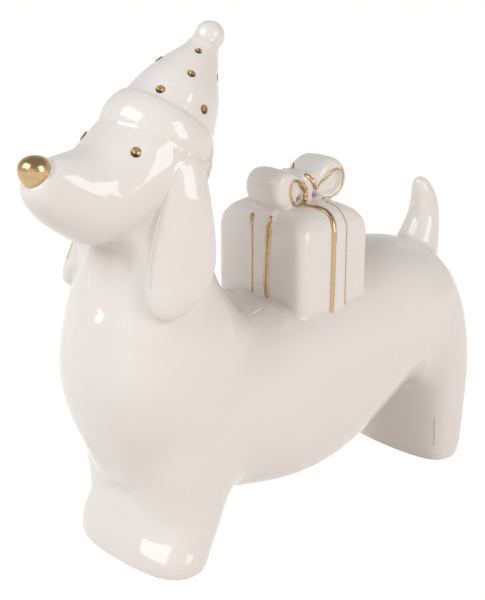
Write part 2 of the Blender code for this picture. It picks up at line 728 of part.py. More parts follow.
# Cutters: each is the neighbour's own form, grown by the gap
head_seat = head_form("head_seat", SEAT_GAP)
ear_seats = [ear_form("ear_seat", side, SEAT_GAP) for side in (1, -1)]
brim_seat = brim_form("brim_seat", SEAT_GAP)
cone_seat = cone_form("cone_seat", SEAT_GAP)
tail_seat = tail_form("tail_seat", SEAT_GAP)
box_seat = box_form("box_seat", SEAT_GAP)
ribbon_seats = [ribbon_form("ribbon_seat", SEAT_GAP, side) for side in (0, 1, -1)]
loop_seats = [loop_form("loop_seat", direction, SEAT_GAP) for direction in (-1, 1)]
nose_seat = ball("nose_seat", NOSE_CENTRE, NOSE_RADIUS + SEAT_GAP, 18, 12)
pompom_centre = HAT_FRAME @ Vector((0, 0, HAT_HEIGHT + POMPOM_RISE))
pompom_seat = ball("pompom_seat", pompom_centre, POMPOM_RADIUS + SEAT_GAP, 16, 10)

# Body: trunk, chest and the two pairs of legs, melted together as one casting
body = join(
    "body",
    [
        loft("trunk", trunk_rings(0, 32)),
        loft("chest", column_rings(chest_rows(), 0, 32)),
        loft("forelegs", column_rings(foreleg_rows(), 0, 32)),
        loft("shin_left", column_rings(shin_rows(), 0, 24, aside=SHIN_ASIDE)),
        loft("shin_right", column_rings(shin_rows(), 0, 24, aside=-SHIN_ASIDE)),
        loft("hind_legs", column_rings(hind_leg_rows(), 0, 32)),
    ],
    finish=glaze,
)
soften(body, BODY_VOXEL, BODY_ROUNDS)
thin_out(body, BODY_FACES)
cut(body, slab("below_ground", (-FAR, -FAR, -FAR), (FAR, FAR, 0.0)))

core = join(
    "core",
    [
        loft("trunk_core", trunk_rings(BODY_WALL, 24)),
        loft("chest_core", column_rings(chest_rows(), BODY_WALL, 24, lowest=CHEST_FLOOR)),
        loft("forelegs_core", column_rings(foreleg_rows(), BODY_WALL, 24, lowest=BODY_WALL)),
        loft("hind_legs_core", column_rings(hind_leg_rows(), BODY_WALL, 24, lowest=BODY_WALL)),
    ],
)
soften(core, CORE_VOXEL, CORE_ROUNDS)
thin_out(core, CORE_FACES)
plinth = box_form("plinth", BODY_WALL)
tail_root = tail_form("tail_root", BODY_WALL)
cut(core, plinth, tail_root)
vent = rod("vent", VENT_RADIUS, Vector((0, 0, BELLY_HEIGHT)), 2 * BODY_WALL, 16)
cut(body, core, vent, head_seat, *ear_seats, brim_seat, tail_seat, box_seat, *ribbon_seats)

# Head, hollow, with its bore over the neck's
head = head_form("head", 0, finish=glaze)
head_core = head_form("head_core", -HEAD_WALL, points=12, between=0)
cut(head_core, *[ear_form("ear_backing", side, HEAD_WALL / 2) for side in (1, -1)])
neck_bore = rod("neck_bore", NECK_BORE_RADIUS, NECK_BORE_CENTRE, NECK_BORE_REACH, 20)
eyes = []
for side, name in ((1, "eye_left"), (-1, "eye_right")):
    aim = Vector((side * EYE_ASIDE, EYE_Y, EYE_Z))
    inside = Vector((0, EYE_Y + EYE_DEPTH / 2, EYE_Z - EYE_DEPTH))
    place, normal = on_skin(head, inside, (aim - inside).normalized())
    eyes.append(inlay(name, place, normal, EYE_RADIUS))
cut(head, head_core, neck_bore, *ear_seats, brim_seat, cone_seat, nose_seat, *[dimple for _, dimple in eyes])

nose = ball("nose", NOSE_CENTRE, NOSE_RADIUS, 18, 12, finish=lustre)
for side, name in ((1, "ear_left"), (-1, "ear_right")):
    cut(ear_form(name, side, 0, finish=glaze), brim_seat)

# Hat, with its gilt dots
brim = cut(brim_form("hat_brim", 0, finish=glaze), cone_seat)
cone = cone_form("hat_cone", 0, finish=glaze)
dimples = []
for number, (height, turn, size) in enumerate(DOTS, 1):
    angle = math.radians(turn) + DOT_FACING - math.pi / 2
    outward = HAT_FRAME.to_3x3() @ Vector((math.cos(angle), math.sin(angle), 0))
    place, normal = on_skin(cone, HAT_FRAME @ Vector((0, 0, height)), outward)
    dimples.append(inlay("hat_dot_%02d" % number, place, normal, size * DOT_RADIUS)[1])
cut(cone, pompom_seat, *dimples)
pompom = ball("pompom", pompom_centre, POMPOM_RADIUS, 16, 10, finish=glaze)

# Gift box, its two ribbons and the bow
gift_box = cut(box_form("gift_box", 0, finish=glaze), *ribbon_seats)
ribbon_form("ribbon_lengthwise", 0, 0, finish=glaze)
ribbon_form("ribbon_crosswise_left", 0, 1, finish=glaze)
ribbon_form("ribbon_crosswise_right", 0, -1, finish=glaze)
for direction, name, mouth in ((-1, "bow_loop_front", FRONT_MOUTH), (1, "bow_loop_back", BACK_MOUTH)):
    mouths = [mouth_form("mouth", side, *mouth) for side in (1, -1)]
    cut(loop_form(name, direction, 0, finish=glaze), box_seat, *ribbon_seats, *mouths)
cut(knot_form("bow_knot", 0, finish=glaze), box_seat, *ribbon_seats, *loop_seats)

tail = tail_form("tail", 0, finish=glaze)

# Smooth shading, with the cut edges kept crisp
for piece in pieces.objects:
    piece.data.shade_smooth()
    piece.data.set_sharp_from_angle(angle=math.radians(35))

# Each piece turns and moves about its own middle
for piece in pieces.objects:
    middle = sum((Vector(corner) for corner in piece.bound_box), Vector()) / len(piece.bound_box)
    piece.data.transform(Matrix.Translation(-middle))
    piece.location = middle
bpy.context.view_layer.update()

# The part's frame: Y runs from the middle of the whole figure's length
ends = [(piece.matrix_world @ Vector(corner)).y for piece in pieces.objects for corner in piece.bound_box]
frame = bpy.data.objects.new("figure_frame", None)
pieces.objects.link(frame)
for piece in list(pieces.objects) + list(cutters.objects):
    if piece is not frame:
        piece.parent = frame
frame.location.y = -(min(ends) + max(ends)) / 2
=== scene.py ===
import math

import bpy
import numpy as np
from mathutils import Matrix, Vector, noise
from mathutils.bvhtree import BVHTree


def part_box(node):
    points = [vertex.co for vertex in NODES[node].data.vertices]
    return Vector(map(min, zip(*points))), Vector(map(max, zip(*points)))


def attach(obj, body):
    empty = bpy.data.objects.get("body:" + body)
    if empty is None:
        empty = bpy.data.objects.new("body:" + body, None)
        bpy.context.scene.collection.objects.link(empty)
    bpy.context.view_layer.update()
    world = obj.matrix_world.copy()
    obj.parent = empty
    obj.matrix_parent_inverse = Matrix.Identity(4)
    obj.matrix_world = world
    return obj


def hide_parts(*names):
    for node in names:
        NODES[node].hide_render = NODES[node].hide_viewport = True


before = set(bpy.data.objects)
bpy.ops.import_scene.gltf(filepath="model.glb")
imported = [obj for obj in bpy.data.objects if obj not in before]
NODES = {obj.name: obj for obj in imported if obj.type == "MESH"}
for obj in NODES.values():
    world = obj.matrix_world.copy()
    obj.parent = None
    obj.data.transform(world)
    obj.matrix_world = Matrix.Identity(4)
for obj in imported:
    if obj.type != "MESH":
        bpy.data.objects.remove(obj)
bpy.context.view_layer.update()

# The body. Trunk, chest, neck and the two slab feet are one hollow casting in white porcelain slip, with a firing vent
# in the belly. It is sponged more than any other piece, and slip is packed in where chest and belly meet the legs.
# How far sponge and glaze soften each casting, as a share of the most softened
SOFTNESS = {"body": 1.0}
# The wiped foot edges stay firm. Their softness grows from this at the sole to the body's own at this height
FIRM_FOOT = 0.006
FOOT_EDGE_SOFTNESS, FOOT_SOFTNESS_GAIN = 0.30, 0.7
# Slip and glaze add this much all round, which closes the joints
JOINT_FILL = 0.00022
LOOSE_GAP = 0.00001
# A plug of slip closes the vent, so that the skin is one closed surface. Sponged over, it shows as a shallow dimple
VENT_PLUG = (0.0, 0.0131, 0.0192)
VENT_PLUG_RADIUS = 0.0032
# Slip over the forelegs and before the hind legs: middle and half sizes in millimetres, on both sides
LEG_POCKETS = (
    ((4.5, -61.5, 34.5), (8.0, 4.4, 5.0)), ((16.0, 61.5, 43.0), (7.5, 7.0, 8.0)),
    ((5.0, -59.5, 30.5), (9.0, 3.8, 5.5)), ((13.5, 65.8, 36.0), (6.5, 5.0, 5.5)),
)
# Hollows that are rubbed longest, on the left side and mirrored on the right: place and reach in millimetres
RUBBED = (
    ((0.0, -66.0, 36.0), 19.0), ((9.0, -62.0, 33.0), 18.0), ((18.0, -25.0, 78.0), 13.0), ((23.0, -28.0, 70.0), 11.0),
    ((23.3, 61.4, 44.1), 16.0), ((12.3, 66.0, 34.0), 12.0), ((24.0, -31.7, 27.4), 10.0), ((16.0, 65.5, 35.5), 12.0),
)
# Small places where the glaze faces a little otherwise than the clay under it: place, reach and full reach in
# millimetres, how far the direction of its surface turns, and the only casting that this holds for
TURNED = [
    ((26.2, -53.2, 6.7), 3.6, 1.0, (0.0, 0.0, 0.33), None),
    ((5.5, -71.0, 86.5), 4.5, 1.5, (0.0, 0.0, 0.30), None),
    ((-1.5, -67.5, 39.0), 8.0, 4.0, (0.35, -0.32, 0.15), None),
]
# The glaze on the left toe has one flat place with a soft edge, on what lies before the shins: its four corners as
# seen from the front, x and z, and the width of the edge, in millimetres
TOE_FLAT = ((12.6, 12.4), (22.7, 11.7), (22.2, 5.4), (12.0, 7.3))
TOE_EDGE = 1.2
TOE_FACING = (0.276, -0.690, 0.670)
TOE_FLATNESS = 0.92
BEFORE_SHINS = -0.05


def only(*pieces):
    """Leaves these objects selected, the first of them active."""
    bpy.ops.object.select_all(action="DESELECT")
    for piece in pieces:
        piece.select_set(True)
    bpy.context.view_layer.objects.active = pieces[0]


def casting(name, rounded=False, fill=JOINT_FILL):
    """A copy of a casting from the frame with its loose triangles merged, rounded out if its form is round."""
    copy = bpy.data.objects.new(name + "_casting", NODES[name].data.copy())
    bpy.context.scene.collection.objects.link(copy)
    only(copy)
    bpy.ops.object.mode_set(mode="EDIT")
    bpy.ops.mesh.select_all(action="SELECT")
    bpy.ops.mesh.remove_doubles(threshold=LOOSE_GAP)
    if rounded:
        bpy.ops.mesh.subdivide(number_cuts=1, smoothness=1.0)
    bpy.ops.transform.shrink_fatten(value=fill)
    bpy.ops.object.mode_set(mode="OBJECT")
    return copy


def packed_slip(pockets):
    """Lumps of slip on both sides, to be melted into the castings round them."""
    lumps = []
    for side in (1, -1):
        for place, half_sizes in pockets:
            bpy.ops.object.select_all(action="DESELECT")
            middle = (side * place[0] / 1000, place[1] / 1000, place[2] / 1000)
            bpy.ops.mesh.primitive_uv_sphere_add(radius=1.0, location=middle)
            lump = bpy.context.object
            lump.scale = [half / 1000 for half in half_sizes]
            bpy.ops.object.transform_apply(location=True, rotation=True, scale=True)
            lumps.append(lump)
    return lumps


castings = [casting("body", rounded=True)]
bpy.ops.object.select_all(action="DESELECT")
bpy.ops.mesh.primitive_uv_sphere_add(radius=VENT_PLUG_RADIUS, location=VENT_PLUG)
castings.append(bpy.context.object)
castings += packed_slip(LEG_POCKETS)

# The head. A second hollow porcelain casting, luted on to the neck, with slip packed into the corners between jaw, neck
# and ears. The muzzle has a shallow seat for the nose, and the dimples for the eyes are pressed in later.
SOFTNESS["head"] = 0.24
EYES = ("eye_left", "eye_right")
JAW_POCKETS = (
    ((14.5, -60.0, 101.0), (3.2, 3.0, 9.0)), ((12.6, -56.5, 111.0), (3.6, 3.4, 8.0)),
    ((9.5, -59.5, 110.0), (6.0, 4.5, 4.5)),
)
TURNED += [
    ((7.3, -83.3, 131.8), 9.0, 4.0, (0.05, 0.05, -0.20), None),
    ((-7.3, -83.3, 131.8), 9.0, 4.0, (-0.05, 0.05, -0.20), None),
]
castings.append(casting("head", rounded=True))
# The nose's solid is drawn in a little, because its gilt knob is laid over it
castings.append(casting("nose", fill=-JOINT_FILL))
castings += [casting(name) for name in EYES]
castings += packed_slip(JAW_POCKETS)

# The tail. A small solid casting of the same porcelain, round in section and tapered. It is stuck upright on the
# rump with slip, and its joint is sponged to a soft fillet.
SOFTNESS["tail"] = 0.4
castings.append(casting("tail", rounded=True))

# The ears. Two flat porcelain castings that hang from the sides of the head and lie on the neck. They are luted on
# along their whole length, so that no gap is left behind them.
SOFTNESS["ear_left"] = SOFTNESS["ear_right"] = 0.16
TURNED += [
    ((25.5, -53.0, 101.0), 24.0, 18.0, (0.10, -0.26, -0.10), "ear_left"),
    ((-25.5, -53.0, 101.0), 24.0, 18.0, (-0.10, -0.26, -0.10), "ear_right"),
]
castings += [casting(name, rounded=True) for name in ("ear_left", "ear_right")]

# The party hat. A porcelain cone with a rolled cuff and a ball for its pompom, cast apart and luted on to the crown.
# Twelve dots are pressed into the cone.
SOFTNESS["hat_brim"] = 0.08
SOFTNESS["hat_cone"] = SOFTNESS["pompom"] = 0.12
DOTS = tuple("hat_dot_%02d" % number for number in range(1, 13))
castings += [casting(name, rounded=True) for name in ("hat_brim", "hat_cone", "pompom")]
castings += [casting(name) for name in DOTS]

# The gift. A porcelain box, the raised ribbons over it, and a bow of two loops and a knot, each out of its own mould
# and luted on with slip. The box sits in a seat on the back. Its edges are kept crisper than those of the dog.
SOFTNESS["gift_box"] = 0.12
for name in ("ribbon_lengthwise", "ribbon_crosswise_left", "ribbon_crosswise_right"):
    SOFTNESS[name] = 0.05
SOFTNESS["bow_loop_front"] = SOFTNESS["bow_loop_back"] = 0.07
SOFTNESS["bow_knot"] = 0.06
GIFT = ("gift_box", "ribbon_lengthwise", "ribbon_crosswise_left", "ribbon_crosswise_right",
        "bow_loop_front", "bow_loop_back", "bow_knot")
castings += [casting(name) for name in GIFT]

# Luting and sponging. The leather-hard castings are stuck together with slip and sponged over, which fills every joint
# to a small fillet. From here to the glazing the whole figure is one skin of clay.
WARE = tuple(SOFTNESS)
BODY = WARE.index("body")
CLAY_GRAIN = 0.0006
SETTLING_ROUNDS = 6
OWN_VOTES = 2
SPONGE_PRESSURE = 0.5
SPONGE_ROUNDS = 60
RUBBING_ROUNDS = 420
JAW_RUBBED_REACH = 9.0
JAW_PRESSURE = 0.4
JAW_MOST = 0.1
# The broad plain parts of the body need fewer faces than the joints
PLAIN_KEPT = 0.42
BORDER_ROUNDS = 8


def apply_all(piece):
    only(piece)
    for modifier in list(piece.modifiers):
        bpy.ops.object.modifier_apply(modifier=modifier.name)


def rows(items, what, width, kind=np.float32):
    """One property of all the points, edges or faces of a mesh, a row for each."""
    flat = np.empty(width * len(items), dtype=kind)
    items.foreach_get(what, flat)
    return flat.reshape(-1, width)


def nearness(points, place, reach):
    """1 at a place, 0 at its reach, both in millimetres, and less than 0 beyond."""
    return 1 - np.linalg.norm(points - np.array(place) / 1000, axis=1) / (reach / 1000)


def sponge(piece, name, shares, rounds):
    """Smooths the piece, each point by its own share of the pressure."""
    group = piece.vertex_groups.new(name=name)
    for share in np.unique(shares[shares > 0]):
        group.add(np.flatnonzero(shares == share).tolist(), float(share), "REPLACE")
    smooth = piece.modifiers.new(name, "SMOOTH")
    smooth.factor = SPONGE_PRESSURE
    smooth.iterations = rounds
    smooth.vertex_group = name
    apply_all(piece)


only(*castings)
bpy.ops.object.join()
skin = castings[0]
skin.name = "glaze_skin"
melt = skin.modifiers.new("melt", "REMESH")
melt.mode = "VOXEL"
melt.voxel_size = CLAY_GRAIN
apply_all(skin)

# Which casting each point of the skin belongs to: the nearest one, with the borders evened out by vote
corners, faces, face_owner = [], [], []
for name, node in NODES.items():
    shown_by = "hat_cone" if name in DOTS else "head" if name in EYES or name == "nose" else name
    start = len(corners)
    corners += [vertex.co for vertex in node.data.vertices]
    faces += [[start + index for index in face.vertices] for face in node.data.polygons]
    face_owner += [WARE.index(shown_by)] * len(node.data.polygons)
assembly = BVHTree.FromPolygons(corners, faces)
owner = np.array([face_owner[assembly.find_nearest(vertex.co)[2]] for vertex in skin.data.vertices])
edges = rows(skin.data.edges, "vertices", 2, np.int32)
for _ in range(SETTLING_ROUNDS):
    votes = np.zeros(len(owner) * len(WARE))
    for here, there in ((0, 1), (1, 0)):
        votes += np.bincount(edges[:, here] * len(WARE) + owner[edges[:, there]], minlength=len(votes))
    votes = votes.reshape(-1, len(WARE))
    votes[np.arange(len(owner)), owner] += OWN_VOTES
    owner = votes.argmax(axis=1)

height = rows(skin.data.vertices, "co", 3)[:, 2]
soft = np.array([SOFTNESS[name] for name in WARE])[owner]
firm = FOOT_EDGE_SOFTNESS + FOOT_SOFTNESS_GAIN * (np.clip(height, 0, None) / FIRM_FOOT) ** 2
sponge(skin, "softness", np.where(height < FIRM_FOOT, firm, soft).round(2), SPONGE_ROUNDS)

points = rows(skin.data.vertices, "co", 3)
rubbed = np.zeros(len(points))
for place, reach in RUBBED:
    for side in (1, -1):
        share = nearness(points, (side * place[0], place[1], place[2]), reach)
        rubbed = np.maximum(rubbed, np.clip(share * 2, 0, 1))
rubbed[owner != BODY] = 0
for place, _ in JAW_POCKETS:
    for side in (1, -1):
        share = nearness(points, (side * place[0], place[1], place[2]), JAW_RUBBED_REACH)
        rubbed = np.maximum(rubbed, np.clip(share * JAW_PRESSURE, 0, JAW_MOST))
rubbed = rubbed.round(1)
sponge(skin, "rubbed", rubbed, RUBBING_ROUNDS)
marked = skin.data.attributes.new("casting", "INT", "POINT")
marked.data.foreach_set("value", owner.astype(np.int32))

plain = (owner == BODY) & (height > FIRM_FOOT) & (rubbed == 0)
for _ in range(BORDER_ROUNDS):
    joined = plain[edges[:, 0]] & plain[edges[:, 1]]
    plain[edges[~joined].ravel()] = False
thinned = skin.vertex_groups.new(name="plain")
thinned.add(np.flatnonzero(plain).tolist(), 1.0, "REPLACE")
thin = skin.modifiers.new("thin", "DECIMATE")
thin.ratio = 1 - (1 - PLAIN_KEPT) * plain.sum() / len(plain)
thin.vertex_group = "plain"
apply_all(skin)

# The dimples for the eyes and the dots. A ball-ended tool is pressed into the clay of head and hat before the firing,
# at the places of the gilt films. Two of them sit a little nearer the front than the mirrored ones.
DIMPLE_DEPTH = 0.40
DIMPLE_REACH = 1.7
DIMPLE_ROUND = 1.3
TOOL_REACH = 1.3
FACING_REACH = 0.6
NUDGED = {"eye_right": (0.0012, 0.0, 0.0008), "hat_dot_09": (0.0010, -0.0004, 0.0004)}


def set_points(mesh, points):
    mesh.vertices.foreach_set("co", points.astype(np.float32).ravel())
    mesh.update()


def select_faces(piece, chosen):
    """Opens the piece for editing with just these faces selected."""
    only(piece)
    piece.data.vertices.foreach_set("select", np.zeros(len(piece.data.vertices), dtype=bool))
    piece.data.edges.foreach_set("select", np.zeros(len(piece.data.edges), dtype=bool))
    piece.data.polygons.foreach_set("select", chosen)
    bpy.context.tool_settings.mesh_select_mode = (False, False, True)
    bpy.ops.object.mode_set(mode="EDIT")


clay = BVHTree.FromObject(skin, bpy.context.evaluated_depsgraph_get())
spots = {}
for name in EYES + DOTS:
    rim = [vertex.co for vertex in NODES[name].data.vertices]
    middle = sum(rim, Vector()) / len(rim)
    radius = max((corner - middle).length for corner in rim)
    place = clay.find_nearest(middle + Vector(NUDGED.get(name, (0, 0, 0))))[0]
    around = ((1, 0, 0), (-1, 0, 0), (0, 1, 0), (0, -1, 0), (0, 0, 1), (0, 0, -1))
    outward = sum((clay.find_nearest(place + Vector(step) * radius * FACING_REACH)[1] for step in around), Vector())
    spots[name] = (place, outward.normalized(), radius)

middles = rows(skin.data.polygons, "center", 3)
pressed = np.zeros(len(middles), dtype=bool)
for place, _, radius in spots.values():
    pressed |= np.linalg.norm(middles - np.array(place), axis=1) < DIMPLE_REACH * radius
select_faces(skin, pressed)
bpy.ops.mesh.subdivide(number_cuts=3, smoothness=0.0)
bpy.ops.object.mode_set(mode="OBJECT")
points = rows(skin.data.vertices, "co", 3)
for place, outward, radius in spots.values():
    offset = points - np.array(place)
    along = offset @ np.array(outward)
    across = np.linalg.norm(offset - np.outer(along, np.array(outward)), axis=1) / radius
    near = (np.linalg.norm(offset, axis=1) < TOOL_REACH * radius) & (across < 1)
    push = DIMPLE_DEPTH * radius * (1 - across[near] ** 2) ** DIMPLE_ROUND
    points[near] -= np.outer(push, np.array(outward))
set_points(skin.data, points)

# The seat of the nose. The tip of the muzzle is pressed in a little, so that the knob of the nose sits in it and not
# on it.
SEAT_DEPTH = 0.0012
SEAT_REACH = 0.0078
SEAT_STEEP, SEAT_ROUND = 3, 1.5
low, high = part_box("nose")
nose_middle = np.array((low + high) / 2)
points = rows(skin.data.vertices, "co", 3)
share = np.clip(1 - np.linalg.norm(points - nose_middle, axis=1) / SEAT_REACH, 0, 1)
points += np.outer(np.clip(SEAT_STEEP * share, 0, 1) ** SEAT_ROUND, (0, SEAT_DEPTH, 0))
set_points(skin.data, points)

# The soles. The figure stands on its two broad feet, whose undersides are cut flat and wiped free of glaze before the
# firing, so that it doesn't stick to the kiln shelf.
SOLE_GAP = 0.000001
only(skin)
bpy.ops.object.shade_smooth()
bpy.ops.object.mode_set(mode="EDIT")
bpy.ops.mesh.select_all(action="SELECT")
bpy.ops.mesh.bisect(plane_co=(0, 0, 0), plane_no=(0, 0, 1), use_fill=True, clear_inner=True, threshold=SOLE_GAP)
bpy.ops.object.mode_set(mode="OBJECT")

# The glaze. The fired figure is dipped once in clear glassy glaze, which runs over every joint and lies thickest in the
# creases. The glazed surface is parted again along the joints, and each casting is closed behind its joint.
JOINT_DEPTH = 0.0016
# How strongly hollowness sets the glaze pooling and the painted crease shade, and how often that share is spread
POOLING_SHADE_SCALE = 0.001
POOLING_SHADE_ROUNDS = 10
glaze_form = bpy.data.objects.new("glaze_form", skin.data.copy())
bpy.context.scene.collection.objects.link(glaze_form)


def eased(share):
    return share * share * (3 - 2 * share)


# Every point keeps the direction that the whole glaze has there, so that no joint shows as a line
directions = rows(skin.data.vertices, "normal", 3)
owner_of_point = rows(skin.data.attributes["casting"].data, "value", 1, np.int32)[:, 0]
points = rows(skin.data.vertices, "co", 3)
for place, reach, full_reach, turn, only_on in TURNED:
    apart = np.linalg.norm(points - np.array(place) / 1000, axis=1) * 1000
    share = eased(np.clip((reach - apart) / (reach - full_reach), 0, 1))
    if only_on:
        share *= owner_of_point == WARE.index(only_on)
    directions += share[:, None] * np.array(turn)
flat = (points[:, 1] < BEFORE_SHINS).astype(float)
for (x, z), (next_x, next_z) in zip(TOE_FLAT, TOE_FLAT[1:] + TOE_FLAT[:1]):
    inside = (points[:, 0] * 1000 - x) * (next_z - z) - (points[:, 2] * 1000 - z) * (next_x - x)
    flat *= eased(np.clip(0.5 + inside / math.hypot(next_x - x, next_z - z) / TOE_EDGE, 0, 1))
directions += TOE_FLATNESS * flat[:, None] * (np.array(TOE_FACING) - directions)
directions /= np.linalg.norm(directions, axis=1)[:, None]
direction = skin.data.attributes.new("glaze_direction", "FLOAT_VECTOR", "POINT")
direction.data.foreach_set("vector", directions.ravel())

# Creases are hollower than the surface round them. The glaze pools there, and their colour is darkened there as painted
# shade in the creases
edges = rows(skin.data.edges, "vertices", 2, np.int32)
links = np.bincount(edges.ravel(), minlength=len(directions))
points = points.astype(np.float64)
around = np.zeros_like(points)
for axis in range(3):
    for here, there in ((0, 1), (1, 0)):
        around[:, axis] += np.bincount(edges[:, here], weights=points[edges[:, there], axis], minlength=len(points))
rise = around / links[:, None] - points
spacing = np.zeros(len(points))
length = np.linalg.norm(points[edges[:, 0]] - points[edges[:, 1]], axis=1)
for here in (0, 1):
    spacing += np.bincount(edges[:, here], weights=length, minlength=len(points))
spacing /= links
hollow = (rise * directions).sum(axis=1) / np.maximum(spacing, 1e-7) ** 2 * POOLING_SHADE_SCALE
for _ in range(POOLING_SHADE_ROUNDS):
    total = np.zeros(len(points))
    for here, there in ((0, 1), (1, 0)):
        total += np.bincount(edges[:, here], weights=hollow[edges[:, there]], minlength=len(points))
    hollow = 0.5 * hollow + 0.5 * total / links
pooling_shade_layer = skin.data.attributes.new("glaze_pooling_and_painted_shade", "FLOAT", "POINT")
pooling_shade_layer.data.foreach_set("value", np.clip(hollow, 0, 1).astype(np.float32))

skin.data.materials.clear()
for name in WARE:
    skin.data.materials.append(bpy.data.materials.new(name))
first = rows(skin.data.polygons, "loop_start", 1, np.int32)[:, 0]
corner = rows(skin.data.loops, "vertex_index", 1, np.int32)[:, 0]
skin.data.polygons.foreach_set("material_index", owner_of_point[corner[first]])
only(skin)
bpy.ops.object.mode_set(mode="EDIT")
bpy.ops.mesh.select_all(action="SELECT")
bpy.ops.mesh.separate(type="MATERIAL")
bpy.ops.object.mode_set(mode="OBJECT")
ware = {}
for piece in list(bpy.context.selected_objects):
    name = piece.data.materials[piece.data.polygons[0].material_index].name
    piece.name = piece.data.name = name + "_glazed"
    ware[name] = piece

for piece in ware.values():
    select_faces(piece, np.zeros(len(piece.data.polygons), dtype=bool))
    bpy.ops.mesh.select_mode(type="EDGE")
    bpy.ops.mesh.select_non_manifold(extend=False, use_wire=False, use_multi_face=False,
                                     use_non_contiguous=False, use_verts=False)
    bpy.ops.mesh.extrude_edges_move()
    bpy.ops.object.mode_set(mode="OBJECT")
    points = rows(piece.data.vertices, "co", 3)
    inner = rows(piece.data.vertices, "select", 1, bool)[:, 0]
    inwards = rows(piece.data.attributes["glaze_direction"].data, "vector", 3)
    points[inner] -= JOINT_DEPTH * inwards[inner]
    set_points(piece.data, points)
    bpy.ops.object.mode_set(mode="EDIT")
    bpy.ops.mesh.fill_holes(sides=0)
    bpy.ops.mesh.select_mode(type="FACE")
    bpy.ops.mesh.select_all(action="DESELECT")
    bpy.ops.mesh.select_face_by_sides(number=4, type="GREATER")
    bpy.ops.mesh.quads_convert_to_tris(ngon_method="BEAUTY")
    bpy.ops.object.mode_set(mode="OBJECT")
    bpy.ops.object.shade_smooth()
    outwards = rows(piece.data.attributes["glaze_direction"].data, "vector", 3)
    piece.data.normals_split_custom_set_from_vertices(outwards.tolist())


def new_material(name):
    made = bpy.data.materials.new(name)
    made.use_nodes = True
    return made, made.node_tree.nodes, made.node_tree.links, made.node_tree.nodes["Principled BSDF"]


def cloud(nodes, links, place, scale, detail):
    """Soft irregular patches, in the piece's own coordinates."""
    patches = nodes.new("ShaderNodeTexNoise")
    patches.inputs["Scale"].default_value = scale
    patches.inputs["Detail"].default_value = detail
    links.new(place.outputs["Object"], patches.inputs["Vector"])
    return patches.outputs["Fac"]


def spread(nodes, links, share, low, high):
    """Turns the patches' grey into a value between two others."""
    to_range = nodes.new("ShaderNodeMapRange")
    to_range.inputs["From Min"].default_value = 0.3
    to_range.inputs["From Max"].default_value = 0.7
    to_range.inputs["To Min"].default_value = low
    to_range.inputs["To Max"].default_value = high
    links.new(share, to_range.inputs["Value"])
    return to_range.outputs["Result"]


def blend_colours(nodes, links, share, first, second):
    """first and second are colours, or sockets that give one."""
    blend = nodes.new("ShaderNodeMix")
    blend.data_type = "RGBA"
    links.new(share, blend.inputs["Factor"])
    for side, colour in (("A", first), ("B", second)):
        socket = [each for each in blend.inputs if each.name == side and each.type == "RGBA"][0]
        if isinstance(colour, tuple):
            socket.default_value = colour
        else:
            links.new(colour, socket)
    return [each for each in blend.outputs if each.type == "RGBA"][0]


def relief(nodes, links, share, distance, *sockets):
    bump = nodes.new("ShaderNodeBump")
    bump.inputs["Strength"].default_value = 1.0
    bump.inputs["Distance"].default_value = distance
    links.new(share, bump.inputs["Height"])
    for socket in sockets:
        links.new(bump.outputs["Normal"], socket)


CREAM_WHITE = (0.815, 0.757, 0.712, 1)
MILK_WHITE = (0.845, 0.793, 0.752, 1)
# Darker warm grey for the creases: glaze pooling and painted crease shade
POOLING_AND_CREASE_SHADE_GREY = (0.69, 0.62, 0.575, 1)
glaze, nodes, links, shader = new_material("glazed_porcelain")
place = nodes.new("ShaderNodeTexCoord")
pooling_shade_node = nodes.new("ShaderNodeAttribute")
pooling_shade_node.attribute_name = "glaze_pooling_and_painted_shade"
tint = blend_colours(nodes, links, cloud(nodes, links, place, 45, 3), CREAM_WHITE, MILK_WHITE)
# Painted shade: the colour goes towards the darker grey where the surface is hollow
tint = blend_colours(nodes, links, pooling_shade_node.outputs["Fac"], tint, POOLING_AND_CREASE_SHADE_GREY)
links.new(tint, shader.inputs["Base Color"])
links.new(spread(nodes, links, cloud(nodes, links, place, 90, 2), 0.46, 0.56), shader.inputs["Roughness"])
shader.inputs["Specular IOR Level"].default_value = 0.25
relief(nodes, links, cloud(nodes, links, place, 240, 1), 0.00005, shader.inputs["Normal"], shader.inputs["Coat Normal"])
shader.inputs["Coat Weight"].default_value = 1.0
shader.inputs["Coat Roughness"].default_value = 0.03
for name, piece in ware.items():
    piece.data.materials.clear()
    piece.data.materials.append(glaze)
    piece.data.polygons.foreach_set("material_index", np.zeros(len(piece.data.polygons), dtype=np.int32))
    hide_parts(name)
    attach(piece, "root")

# The bare soles. Under the two feet, where the glaze was wiped off before the firing, the dry white bisque shows,
# a little grey from standing on tables.
CLEAN_BISQUE = (0.80, 0.76, 0.71, 1)
WORN_BISQUE = (0.70, 0.65, 0.60, 1)
SOLE_HEIGHT = 0.0001
DOWNWARD = -0.9
bisque, nodes, links, shader = new_material("bare_bisque")
place = nodes.new("ShaderNodeTexCoord")
tint = blend_colours(nodes, links, cloud(nodes, links, place, 300, 4), CLEAN_BISQUE, WORN_BISQUE)
links.new(tint, shader.inputs["Base Color"])
shader.inputs["Roughness"].default_value = 0.85
relief(nodes, links, cloud(nodes, links, place, 2500, 3), 0.00006, shader.inputs["Normal"])
body = ware["body"]
body.data.materials.append(bisque)
level = rows(body.data.polygons, "center", 3)[:, 2]
facing = rows(body.data.polygons, "normal", 3)[:, 2]
sole = (level < SOLE_HEIGHT) & (facing < DOWNWARD)
body.data.polygons.foreach_set("material_index", sole.astype(np.int32))

# The gilt eyes and dots. Each is one touch of a brush with gold lustre, laid over the fired glaze so that it fills its
# dimple, and fired once more at low heat. In the dimples the lustre is given dark brown golds, a painted dark
# reflection in place of bright gold.
FILM = 0.00004
FILLED = 0.97
UPWARD = 0.3
